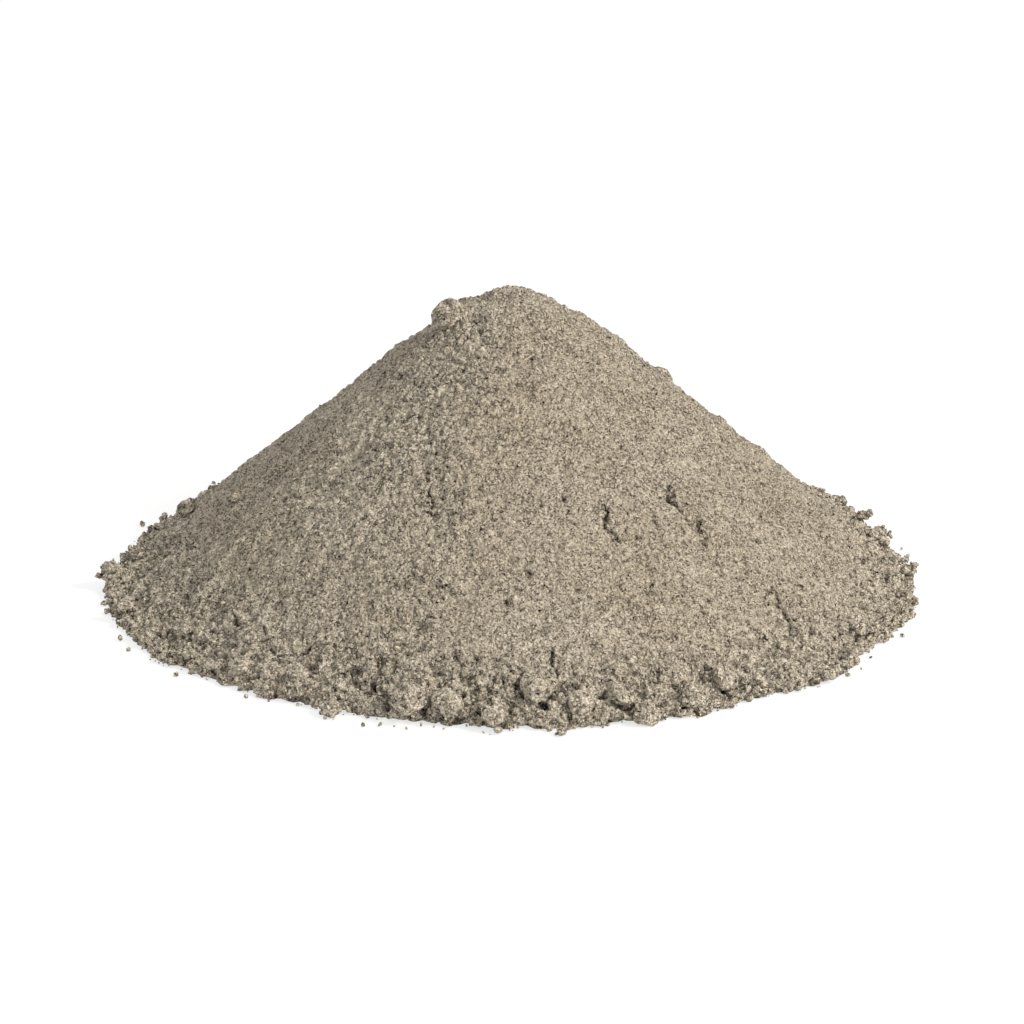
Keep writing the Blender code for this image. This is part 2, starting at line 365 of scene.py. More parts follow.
    def _dips(self, tree: NodeTree, spot: NodeSocket, unrest: NodeSocket, hollows: Hollows) -> NodeSocket:
        """Find the hollows of one kind.

        Args:
            tree: the material's node tree.
            spot: the place in the powder.
            unrest: how broken up the surface is there.
            hollows: their kind.

        Returns:
            0 on the crumbs' tops and 1 in the hollows between them.
        """
        lie = self._add_share(tree, unrest, -hollows.when_loose, self._noise(tree, spot, hollows.size))
        dip = {0: lie, 1: hollows.level, 2: hollows.level - hollows.edge}
        return add_node(tree, "ShaderNodeMapRange", dip, interpolation_type="SMOOTHSTEP")

    def _seam(self, tree: NodeTree, spot: NodeSocket, unrest: NodeSocket, seams: Seams) -> NodeSocket:
        """Find the open seams between crumbs of one size.

        Args:
            tree: the material's node tree.
            spot: the place in the powder.
            unrest: how broken up the surface is there.
            seams: their kind.

        Returns:
            1 in the seams, and 0 elsewhere.
        """
        inputs = {"Vector": spot, "Scale": per_metre(seams.size)}
        edge = add_node(tree, "ShaderNodeTexVoronoi", inputs, "Distance", feature="DISTANCE_TO_EDGE")
        near = {0: edge, 1: seams.width, 2: 0.0}
        near = add_node(tree, "ShaderNodeMapRange", near, interpolation_type="SMOOTHSTEP")
        patches = self._noise(tree, spot, self.seam_patch * seams.size)
        opened = self._add_share(tree, unrest, seams.when_loose, patches)
        opened = {0: opened, 1: seams.opening, 2: seams.opening + self.seam_edge}
        opened = add_node(tree, "ShaderNodeMapRange", opened, interpolation_type="SMOOTHSTEP")
        return add_node(tree, "ShaderNodeMath", {0: near, 1: opened}, operation="MULTIPLY")

    @staticmethod
    def _cells(tree: NodeTree, spot: NodeSocket, size: float) -> tuple[NodeSocket, NodeSocket]:
        """Divide the powder in crumbs of one size.

        Args:
            tree: the material's node tree.
            spot: the place in the powder.
            size: how far apart the crumbs lie, in millimetres.

        Returns:
            The distance from the middle of the nearest crumb, and a chance value of that crumb.
        """
        inputs = {"Vector": spot, "Scale": per_metre(size)}
        distance = add_node(tree, "ShaderNodeTexVoronoi", inputs, "Distance")
        chance = add_node(tree, "ShaderNodeSeparateColor", {0: distance.node.outputs["Color"]})
        return distance, chance

    def _tone(self, tree: NodeTree, spot: NodeSocket, tint: NodeSocket) -> NodeSocket:
        """Mix the powder's colour: broad patches of its own tone, loose crumbs painted paler as a painted
        lift against their shade, and the crumbs' own tints.

        Args:
            tree: the material's node tree.
            spot: the place in the powder.
            tint: how dusty the crumb is there.

        Returns:
            The colour.
        """
        low, high = self.tone_range
        patch = {0: self._noise(tree, spot, self.tone_patch), 1: low, 2: high}
        patch = add_node(tree, "ShaderNodeMapRange", patch, interpolation_type="SMOOTHSTEP")
        shades = {0: patch, 6: linear_colour(self.middle), 7: linear_colour(self.pale)}
        tone = add_node(tree, "ShaderNodeMix", shades, 2, data_type="RGBA")
        loose = add_node(tree, "ShaderNodeAttribute", {}, "Fac", attribute_name="loose")
        # painted light on loose powder first, then the crumbs' own dusty tints
        for share, colour in ((loose, self.loose_painted_light), (tint, self.dusty)):
            shades = {0: share, 6: tone, 7: linear_colour(colour)}
            tone = add_node(tree, "ShaderNodeMix", shades, 2, data_type="RGBA")
        return tone

    def _painted_shade(self, tree: NodeTree, darks: list[tuple[NodeSocket, float]]) -> NodeSocket:
        """Add up how much painted shade darkens a place.

        Args:
            tree: the material's node tree.
            darks: the hollows and seams, each with its share of painted shade.

        Returns:
            0 in the open and 1 in the darkest hollow; all of it painted shade, that of the mesh's own gaps
            included.
        """
        painted_darkness = 0.0
        for source, shade in darks:
            painted_darkness = self._add_share(tree, source, shade, painted_darkness)
        # painted shade of the mesh's gaps, noted on the skin and the clods
        gap = add_node(tree, "ShaderNodeAttribute", {}, "Fac", attribute_name="gap")
        step = {0: gap, 1: self.gap_shade, 2: painted_darkness}
        return add_node(tree, "ShaderNodeMath", step, operation="MULTIPLY_ADD", use_clamp=True)


@dataclass(frozen=True)
class Spot:
    """A round place on the plan where something rises or grows softly, by an amount."""

    x: float
    y: float
    radius: float
    amount: float


def total_at(spots: tuple[Spot, ...], place: Vector) -> float:
    """Add up what soft round places do at a place.

    Args:
        spots: the soft round places.
        place: the place, in millimetres.

    Returns:
        The sum of their amounts there.
    """
    total = 0.0
    for spot in spots:
        away = math.hypot(place.x - spot.x, place.y - spot.y)
        if away < SPOT_REACH * spot.radius:
            total += spot.amount * math.exp(-((away / spot.radius) ** 2))
    return total


def wander(place: Vector, layers: tuple[tuple[float, float, float], ...]) -> float:
    """Return how far layers of noise push a line aside at a place, in millimetres."""
    return sum(reach * noise.noise(place * fineness + UP * start) for reach, fineness, start in layers)


@dataclass(frozen=True)
class Crack:
    """A crack where a small slide stopped, along points (x, y) of the plan, downhill.

    The powder on its right, as the photograph shows it, stands proud of the left by the bank.
    """

    path: tuple[tuple[float, float], ...]
    width: float
    depth: float
    bank: float = 0.5

    def is_near(self, place: Vector, margin: float) -> bool:
        """Tell whether a place lies in the box round the crack.

        Args:
            place: the place, in millimetres.
            margin: how much wider than the crack the box is on each side.

        Returns:
            Whether it does.
        """
        across = [point[0] for point in self.path]
        along = [point[1] for point in self.path]
        return (
            min(across) - margin < place.x < max(across) + margin
            and min(along) - margin < place.y < max(along) + margin
        )

    def off_line(self, place: Vector) -> tuple[float, float]:
        """Measure how far a place is from the crack's wandering line.

        Args:
            place: the place, in millimetres.

        Returns:
            The distance, above 0 on the line's right as the photograph shows it, and how full the
            crack is there: 1 along most of it and 0 at its ends.
        """
        x = place.x + wander(place, WANDER_ACROSS)
        y = place.y + wander(place, WANDER_ALONG)
        nearest, side, reached = math.inf, 1.0, 0.0
        legs = len(self.path) - 1
        for leg, ((x0, y0), (x1, y1)) in enumerate(zip(self.path, self.path[1:])):
            run_x, run_y = x1 - x0, y1 - y0
            share = ((x - x0) * run_x + (y - y0) * run_y) / (run_x ** 2 + run_y ** 2)
            share = max(0.0, min(1.0, share))
            off_x, off_y = x - x0 - share * run_x, y - y0 - share * run_y
            away = math.hypot(off_x, off_y)
            if away < nearest:
                nearest, reached = away, (leg + share) / legs
                side = math.copysign(1.0, run_x * off_y - run_y * off_x)
        fullness = smooth_step(0.0, CRACK_TAPER, reached) * smooth_step(1.0, 1.0 - CRACK_TAPER, reached)
        return nearest * side, fullness


@dataclass(frozen=True)
class Stray:
    """A crumb on the floor near the rim: its bearing, its distance from the middle, its width."""

    bearing: float
    reach: float
    width: float


def finish_piece(mesh: bmesh.types.BMesh, name: str, material: Material) -> Object:
    """Turn a bmesh in metres into a piece that rides on the heap.

    Args:
        mesh: the shape, in the row's frame; it is freed.
        name: the piece's name.
        material: its finish.

    Returns:
        The new object.
    """
    data = bpy.data.meshes.new(name)
    mesh.to_mesh(data)
    mesh.free()
    data.materials.append(material)
    data.shade_smooth()
    piece = bpy.data.objects.new(name, data)
    bpy.context.scene.collection.objects.link(piece)
    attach(piece, BODY)
    return piece


def merged_copy(node: str) -> bmesh.types.BMesh:
    """Copy a CAD node's mesh, with its loose triangles joined.

    Args:
        node: the node's name.

    Returns:
        The copy, in metres.
    """
    mesh = bmesh.new()
    mesh.from_mesh(frame["nodes"][node].data)
    bmesh.ops.remove_doubles(mesh, verts=mesh.verts, dist=WELD)
    return mesh


def divide(mesh: bmesh.types.BMesh, edges: list, cuts: int) -> None:
    """Divide edges of a triangle mesh by a number of cuts each, and keep it one of triangles."""
    bmesh.ops.subdivide_edges(mesh, edges=edges, cuts=cuts, use_grid_fill=True)
    bmesh.ops.triangulate(mesh, faces=[face for face in mesh.faces if len(face.verts) > 3])


def relax(mesh: bmesh.types.BMesh, verts: list, rounds: int) -> None:
    """Smooth points of a mesh a number of times."""
    for _ in range(rounds):
        bmesh.ops.smooth_vert(
            mesh, verts=verts, factor=0.5, use_axis_x=True, use_axis_y=True, use_axis_z=True
        )


def crumbs_at(place: Vector, size: float) -> tuple[float, float]:
    """Work out the crumbs of one size at a place.

    Args:
        place: the place, in millimetres.
        size: how far apart the crumbs lie.

    Returns:
        How high the crumb stands there, about -1 to 1, and 1 on the line between two crumbs,
        falling to 0 beside it.
    """
    near, middles = noise.voronoi(place / size)
    height = CRUMB_LEVEL * noise.cell(middles[0] * CHANCE_STEP) + CRUMB_DOME * (0.5 - near[0])
    return height, smooth_step(*CRUMB_LINE, near[1] - near[0])


def roughen(mesh: bmesh.types.BMesh, relief_at: Callable) -> None:
    """Push every point of a surface by its loose relief, and note the painted shade of its gaps, and its
    looseness.

    Args:
        mesh: the surface, in metres.
        relief_at: gives, for a place in millimetres, how far it rises, how far it moves sideways,
        how much painted shade its gaps get and how loose it is.
    """
    # painted shade: a share that darkens the colour in gaps, holes, pits and cracks
    gap = mesh.verts.layers.float.new("gap")
    loose = mesh.verts.layers.float.new("loose")
    mesh.normal_update()
    for vert in mesh.verts:
        rise, sideways, vert[gap], vert[loose] = relief_at(vert.co / MM)
        vert.co += (vert.normal * rise + sideways) * MM


@dataclass
class PowderSkin:
    """The poured powder's own surface: the CAD heap with its loose relief."""

    material: Material
    first_cuts: int = 3
    front_cuts: int = 2
    back_cuts: int = 1
    first_smoothing: int = 7
    last_smoothing: int = 4
    toe_steps: int = 7
    toe_width: float = 1.0
    toe_round: float = 120.0
    toe_wave: float = 5.0
    toe_ripple: float = 2.2
    toe_sway: float = 2.6
    toe_smoothing: int = 3
    tuck: float = 1.6
    least_rise: float = 0.15
    coarse_below: float = 21.0
    shake: float = 2.4
    shake_reach: float = 1.0
    clump: float = 3.2
    clump_height: tuple[float, float] = (0.52, 0.78)
    crumb: float = 1.4
    crumb_height: tuple[float, float] = (0.48, 0.74)
    parting: float = 4.2
    clump_parting: float = 1.3
    crumb_parting: float = 0.7
    hole: float = 3.0
    hole_depth: float = 1.8
    pit: float = 1.7
    pit_depth: float = 2.0
    lump: float = 8.5
    lump_depth: float = 0.6
    streak: float = 2.6
    streak_length: float = 9.0
    streak_depth: float = 0.45
    sway: float = 1.9
    sway_reach: float = 0.45
    bank_reach: float = 2.2
    cracks: tuple[Crack, ...] = (
        Crack(((-30.6, -23), (-31.2, -26.5), (-29.3, -30)), 0.45, 0.8, 0.4),
        Crack(((-24.8, -49), (-23.6, -56), (-23.0, -60), (-22.2, -64.5)), 0.45, 0.9, 0.5),
        Crack(((-22, -67), (-20, -72)), 0.4, 0.6, 0.3),
        Crack(((15.3, -62), (16.8, -66)), 0.5, 0.9, 0.4),
        Crack(((26.7, -59), (26.5, -62.5), (28.6, -66.5), (31, -69)), 0.55, 1.5, 1.2),
        Crack(((45.2, -45), (46.6, -51), (49.2, -54), (52, -54.5)), 0.55, 1.7, 1.5),
        Crack(((53.2, -50), (54.4, -54), (56.6, -58.5)), 0.55, 1.7, 1.5),
        Crack(((38, -76), (41, -80)), 0.45, 0.7, 0.4),
        Crack(((75, -57), (77, -62), (80.5, -67), (80.5, -71)), 0.5, 1.2, 1.2),
        Crack(((53.5, -95), (57.5, -98), (62.5, -104.5)), 0.8, 2.2, 0.5),
        Crack(((11.2, -98), (11.5, -103), (13.6, -107)), 0.75, 2.0, 0.3),
        Crack(((-49, -104), (-48.2, -110)), 0.6, 1.6, 0.3),
        Crack(((38, 52), (41, 55), (42, 61)), 0.6, 1.5, 0.6),
        Crack(((-20, 66), (-23, 70), (-24, 77)), 0.6, 1.5, 0.6),
        Crack(((-62, 42), (-66, 44), (-67, 49)), 0.6, 1.4, 0.5),
        Crack(((8, 84), (11, 87), (10, 92)), 0.6, 1.4, 0.5),
    )
    swells: tuple[Spot, ...] = (
        Spot(22.0, 5, 3.0, 1.1), Spot(27.4, 4, 2.4, -1.8), Spot(33, 7, 3.0, 0.7), Spot(40.5, 16, 3.0, -1.0),
        Spot(46, 16, 2.6, 1.7), Spot(57, 19, 3.2, -1.0), Spot(64, 16, 2.8, 1.5), Spot(70.7, 24, 2.6, -0.8),
        Spot(77, 21, 3.0, 1.5), Spot(-34.5, 16, 3.2, 1.4), Spot(-15.0, 5, 2.6, 1.5), Spot(7, 6, 4.0, -0.9),
        Spot(-5, 0, 1.7, 1.0), Spot(1, 0, 1.7, 0.7), Spot(14, -4, 5.0, 0.5), Spot(-13.0, -6.5, 4.0, 2.4),
        Spot(-56, -42, 4.0, -0.8), Spot(-87, -59, 4.5, -0.9), Spot(-99, 63.5, 7.5, -3.0),
        Spot(-105.5, 43, 7.0, -2.4), Spot(-100.5, 20.5, 5.5, -1.3),
    )
    holes: tuple[Spot, ...] = (
        Spot(-58.6, -88.1, 1.5, 2.6), Spot(-55.0, -92.7, 1.1, 2.0), Spot(-58.3, -96.5, 1.1, 2.0),
        Spot(-51.0, -100.1, 0.9, 1.7), Spot(-43.3, -103.3, 1.0, 2.0), Spot(-38.8, -103.9, 1.1, 2.2),
        Spot(-35.9, -108.1, 0.9, 2.0), Spot(-34.4, -111.9, 1.6, 1.8), Spot(-40.9, -89.9, 0.9, 1.7),
        Spot(-24.3, -115.9, 1.5, 1.8), Spot(-13.6, -111.5, 1.2, 2.4), Spot(-11.6, -115.0, 1.1, 2.4),
        Spot(-8.6, -118.3, 1.4, 2.6), Spot(-1.1, -116.7, 1.2, 2.4), Spot(1.7, -109.0, 1.5, 2.4),
        Spot(4.2, -111.3, 1.1, 2.2), Spot(8.6, -115.3, 1.5, 2.8), Spot(14.7, -111.4, 1.0, 2.0),
        Spot(25.0, -111.7, 1.3, 2.6), Spot(31.3, -112.8, 1.5, 2.6), Spot(46.4, -105.4, 1.2, 2.4),
        Spot(47.8, -111.5, 1.2, 1.8), Spot(5.0, -81.0, 1.2, 1.6), Spot(-2.0, -88.0, 1.2, 1.4),
        Spot(2.0, -32.8, 0.8, 1.5), Spot(5.9, -32.2, 0.7, 1.2), Spot(14.9, -60.6, 0.9, 1.7),
        Spot(-39.6, -39.6, 1.0, 1.5), Spot(-10.3, -12.4, 0.8, 1.6), Spot(21.4, -30.5, 0.8, 0.9),
    )
    loose_spots: tuple[Spot, ...] = (
        Spot(-12, -16, 13, 0.42), Spot(-24, -36, 14, 0.22), Spot(-44, -52, 20, 0.20),
        Spot(-15, -86, 16, 0.15), Spot(40, -30, 25, -0.16), Spot(62, -50, 20, -0.10),
        Spot(0, 0, 14, 0.25),
    )
    drift_width: float = 1.3
    drift_height: float = 0.26

    def build(self) -> list[Object]:
        """Build the skin in six wedges, which stand for the CAD heap.

        Returns:
            The wedges' objects.
        """
        mesh = self._fine_copy()
        tip = mesh.verts.layers.int.new("tip")
        min(mesh.verts, key=lambda vert: vert.co.xy.length)[tip] = 1
        sector = mesh.faces.layers.int.new("sector")
        for face in mesh.faces:
            middle = face.calc_center_median()
            bearing = math.degrees(math.atan2(middle.y, middle.x)) % 360.0
            face[sector] = int(bearing // SECTOR_ANGLE) * SECTOR_ANGLE
        self._step_to_the_floor(mesh)
        feet = [vert.co.copy() for vert in mesh.verts if vert.is_boundary]
        self.swells += self._drifts()
        roughen(mesh, self._relief)
        for vert in mesh.verts:
            vert.co.z = max(self.least_rise * MM, vert.co.z)
        for vert, foot in zip([vert for vert in mesh.verts if vert.is_boundary], feet):
            vert.co = foot - foot.normalized() * self.tuck * MM
        pieces = [self._wedge(mesh, part) for part in Sector]
        mesh.free()
        return pieces

    def _drifts(self) -> tuple[Spot, ...]:
        """Work out the drifts of powder against the uphill sides of the clods.

        Returns:
            A low swell for each clod.
        """
        drifts = []
        for node in sorted(set(frame["nodes"]) - {HEAP_NODE}):
            low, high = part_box(node)
            middle = (low + high).xy / 2.0 / MM
            half = (high - low).x / 2.0 / MM
            middle -= middle.normalized() * 0.5 * half
            drifts.append(Spot(middle.x, middle.y, self.drift_width * half, self.drift_height * half))
        return tuple(drifts)

    def _fine_copy(self) -> bmesh.types.BMesh:
        """Copy the CAD heap's upper surface, divide it finely and smooth its facets.

        Returns:
            The open surface, finer in front than behind.
        """
        mesh = merged_copy(HEAP_NODE)
        underside = [face for face in mesh.faces if face.normal.z < -0.5]
        bmesh.ops.delete(mesh, geom=underside, context="FACES")
        on_floor = [vert for vert in mesh.verts if vert.co.z < FLOOR_LEVEL]
        bmesh.ops.delete(mesh, geom=on_floor, context="VERTS")
        divide(mesh, mesh.edges, self.first_cuts)
        relax(mesh, [vert for vert in mesh.verts if not vert.is_boundary], self.first_smoothing)
        behind = [edge for edge in mesh.edges if max(vert.co.y for vert in edge.verts) > FLOOR_LEVEL]
        ahead = [edge for edge in mesh.edges if max(vert.co.y for vert in edge.verts) <= FLOOR_LEVEL]
        divide(mesh, behind, self.back_cuts)
        divide(mesh, [edge for edge in ahead if edge.is_valid], self.front_cuts)
        relax(mesh, [vert for vert in mesh.verts if not vert.is_boundary], self.last_smoothing)
        return mesh

    def _cracks_at(self, place: Vector) -> tuple[float, float]:
        """Work out what the cracks do at a place.

        Args:
            place: the place, in millimetres.

        Returns:
            How deep the cracks are there, and how far their banks lift it.
        """
        depth = 0.0
        lift = 0.0
        for crack in self.cracks:
            if not crack.is_near(place, 3.0 * self.bank_reach):
                continue
            off, fullness = crack.off_line(place)
            fullness *= smooth_step(-0.6, -0.1, noise.noise(place * 0.6))
            groove = max(0.0, 1.0 - (off / crack.width) ** 2)
            depth = max(depth, crack.depth * fullness * groove)
            if off > 0.0:
                lift += crack.bank * fullness * math.exp(-off / self.bank_reach)
        return depth, lift

    def looseness(self, place: Vector) -> float:
        """Work out how loose the powder lies at a place.

        Args:
            place: the place, in millimetres.

        Returns:
            0 where it lies fine and packed, 1 where it is all loose crumbs.
        """
        skirt = smooth_step(self.coarse_below, 3.0, place.z)
        left = 0.16 * smooth_step(20.0, -60.0, place.x)
        patches = 0.28 * (noise.noise(place / 20.0) + 0.2)
        return max(0.0, min(1.0, skirt + left + patches + total_at(self.loose_spots, place)))

    def _relief(self, place: Vector) -> tuple[float, Vector, float, float]:
        """Work out the loose surface at a place of the CAD heap.

        Args:
            place: the place, in millimetres.

        Returns:
            The rise, the sideways shift, how much painted shade it gets in gaps, and the looseness.
        """
        loose = self.looseness(place)
        shaken = place + noise.noise_vector(place / self.shake) * self.shake_reach
        clump, between_clumps = crumbs_at(shaken, self.clump)
        crumb, between_crumbs = crumbs_at(shaken + UP * 40.0, self.crumb)
        parted = smooth_step(0.02, 0.30, noise.noise(shaken / self.parting + UP * 5.0))
        clump_gap = between_clumps * parted * smooth_step(0.25, 0.9, loose)
        crumb_gap = between_crumbs * smooth_step(-0.05, 0.35, noise.noise(shaken / 2.9 + UP * 11.0))
        hole = smooth_step(-0.38, -0.52, noise.noise(shaken / self.hole + UP * 3.0))
        hole *= smooth_step(0.35, 1.0, loose)
        pit = max(0.0, -noise.noise(shaken / self.pit + UP * 8.0) - 0.33)
        cracks, banks = self._cracks_at(place)
        known_hole = total_at(self.holes, shaken)
        arc = math.atan2(place.y, place.x) * 80.0

        rise = clump * blend(self.clump_height, loose ** 1.5) + crumb * blend(self.crumb_height, loose)
        rise += noise.fractal(place / self.lump, 0.9, 2.0, 3) * self.lump_depth * (0.35 + loose)
        downhill = Vector((arc / self.streak, place.z / self.streak_length, 7.0))
        rise += noise.noise(downhill) * self.streak_depth
        rise += total_at(self.swells, place) + banks
        rise -= clump_gap * self.clump_parting + crumb_gap * self.crumb_parting * (0.25 + loose)
        rise -= hole * self.hole_depth + pit * self.pit_depth * (0.6 + loose) + cracks + known_hole
        # painted shade: gaps between clumps and crumbs, holes, pits, cracks and the listed holes are darkened
        # in the colour
        gap = 0.32 * clump_gap + 0.2 * crumb_gap * (0.3 + loose) + 0.5 * hole + 0.6 * pit + cracks
        gap += smooth_step(0.5, 1.6, known_hole)
        sideways = noise.noise_vector(place / self.sway) * self.sway_reach * (0.15 + 0.85 * loose)
        return rise, sideways, min(1.0, gap), loose

    def _step_to_the_floor(self, mesh: bmesh.types.BMesh) -> None:
        """Carry the rim down to the floor in small steps, and round it.

        Args:
            mesh: the open surface of the heap, which gets the steps.
        """
        sector = mesh.faces.layers.int["sector"]
        toe = [vert for vert in mesh.verts if vert.is_boundary]
        for step in range(1, self.toe_steps + 1):
            rim = [edge for edge in mesh.edges if edge.is_boundary]
            made = bmesh.ops.extrude_edge_only(mesh, edges=rim)["geom"]
            left = (self.toe_steps - step) / (self.toe_steps - step + 1)
            verts = [element for element in made if isinstance(element, bmesh.types.BMVert)]
            for vert in verts:
                outward = Vector((vert.co.x, vert.co.y, 0.0)).normalized()
                around = outward * self.toe_round
                wave = noise.noise(around / self.toe_wave) + 0.6 * noise.noise(around / self.toe_ripple)
                reach = self.toe_width + self.toe_sway * wave
                vert.co += outward * reach / self.toe_steps * MM
                vert.co.z *= left
            toe += verts
            new_faces = {element for element in made if isinstance(element, bmesh.types.BMFace)}
            for face in new_faces:
                beside = (other for edge in face.edges for other in edge.link_faces)
                face[sector] = next(other for other in beside if other not in new_faces)[sector]
        relax(mesh, [vert for vert in toe if not vert.is_boundary], self.toe_smoothing)

    def _wedge(self, whole: bmesh.types.BMesh, part: Sector) -> Object:
        """Cut one wedge out of the skin, close its underside and cut sides, and finish it.

        Args:
            whole: the whole skin, which stays as it is.
            part: the side of the heap that the wedge covers.

        Returns:
            The wedge's object.
        """
        mesh = whole.copy()
        sector = mesh.faces.layers.int["sector"]
        others = [face for face in mesh.faces if face[sector] != part.value]
        bmesh.ops.delete(mesh, geom=others, context="FACES")
        rim = {edge for edge in mesh.edges if edge.is_boundary}
        arc = {edge for edge in rim if max(vert.co.z for vert in edge.verts) < FLOOR_LEVEL}
        tip = mesh.verts.layers.int["tip"]
        top = next(vert for edge in rim for vert in edge.verts if vert[tip])
        on_arc = [vert for edge in arc for vert in edge.verts]
        ends = [vert for vert in set(on_arc) if on_arc.count(vert) == 1]
        middle = mesh.verts.new((top.co.x, top.co.y, 0.0))
        mast = mesh.edges.new((middle, top))
        spokes = [mesh.edges.new((middle, end)) for end in ends]
        hidden = bmesh.ops.contextual_create(mesh, geom=[*arc, *spokes])["faces"]
        for spoke, end in zip(spokes, ends):
            side = self._climb(end, top, rim - arc)
            hidden += bmesh.ops.contextual_create(mesh, geom=[*side, spoke, mast])["faces"]
        for edge in {edge for face in hidden for edge in face.edges}:
            edge.smooth = False
        mesh.faces.layers.int.remove(sector)
        mesh.verts.layers.int.remove(tip)
        bmesh.ops.recalc_face_normals(mesh, faces=mesh.faces)
        piece = finish_piece(mesh, f"powder_skin_{part.name.lower()}", self.material)
        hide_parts(HEAP_NODE)
        return piece

    @staticmethod
    def _climb(end: bmesh.types.BMVert, top: bmesh.types.BMVert, cut: set) -> list[bmesh.types.BMEdge]:
        """Follow one cut side from the floor up to the tip.

        Args:
            end: the point on the floor where the cut side starts.
            top: the point at the tip.
            cut: the edges of both cut sides.

        Returns:
            The edges of the cut side, in order.
        """
        climbed: list[bmesh.types.BMEdge] = []
        at = end
        while at is not top:
            step = next(edge for edge in at.link_edges if edge in cut and edge not in climbed[-1:])
            climbed.append(step)
            at = step.other_vert(at)
        return climbed


@dataclass
class CakedClods:
    """The caked lumps, each with the crumbly skin of the CAD clod that it stands for."""

    material: Material
    skin: PowderSkin
    front_spacing: float = 0.36
    back_spacing: float = 0.55
    lump: float = 4.4
    lump_depth: float = 0.8
    clump: float = 2.6
    clump_height: float = 0.32
    crumb: float = 1.25
    crumb_height: float = 0.22

    def build(self) -> list[Object]:
        """Build one piece for each clod.

        Returns:
            The clods' objects.
        """
        return [self._clod(node) for node in sorted(frame["nodes"]) if node != HEAP_NODE]

    def _clod(self, node: str) -> Object:
        """Build the piece that stands for one CAD clod.

        Args:
            node: the CAD clod's name.

        Returns:
            The piece's object.
        """
        mesh = merged_copy(node)
        edge_length = sum(edge.calc_length() for edge in mesh.edges) / len(mesh.edges) / MM
        is_behind = node.startswith(("back_clod", "right_back", "back_left"))
        cuts = max(1, round(edge_length / (self.back_spacing if is_behind else self.front_spacing)) - 1)
        divide(mesh, mesh.edges, cuts)
        relax(mesh, mesh.verts, 2 * cuts)
        roughen(mesh, self._relief)
        for vert in mesh.verts:
            vert.co.z = max(0.0, vert.co.z)
        bmesh.ops.recalc_face_normals(mesh, faces=mesh.faces)
        piece = finish_piece(mesh, f"{node}_crumbly", self.material)
        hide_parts(node)
        return piece

    def _relief(self, place: Vector) -> tuple[float, Vector, float, float]:
        """Work out the crumbly surface at a place of a clod.

        Args:
            place: the place, in millimetres.

        Returns:
            The rise, the sideways shift, how much painted shade it gets in gaps, and the looseness.
        """
        shaken = place + noise.noise_vector(place / 1.6) * 0.6
        clump, between_clumps = crumbs_at(shaken, self.clump)
        crumb, between_crumbs = crumbs_at(shaken + UP * 40.0, self.crumb)
        parted = smooth_step(0.05, 0.35, noise.noise(shaken / 2.4 + UP * 5.0))
        rise = 0.2 + clump * self.clump_height + crumb * self.crumb_height
        rise += noise.fractal(place / self.lump, 0.9, 2.0, 2) * self.lump_depth
        rise -= parted * (0.5 * between_clumps + 0.25 * between_crumbs)
        # painted shade in the partings between clumps and crumbs
        gap = parted * (0.6 * between_clumps + 0.3 * between_crumbs)
        return rise, noise.noise_vector(place / 1.9) * 0.2, min(1.0, gap), self.skin.looseness(place)


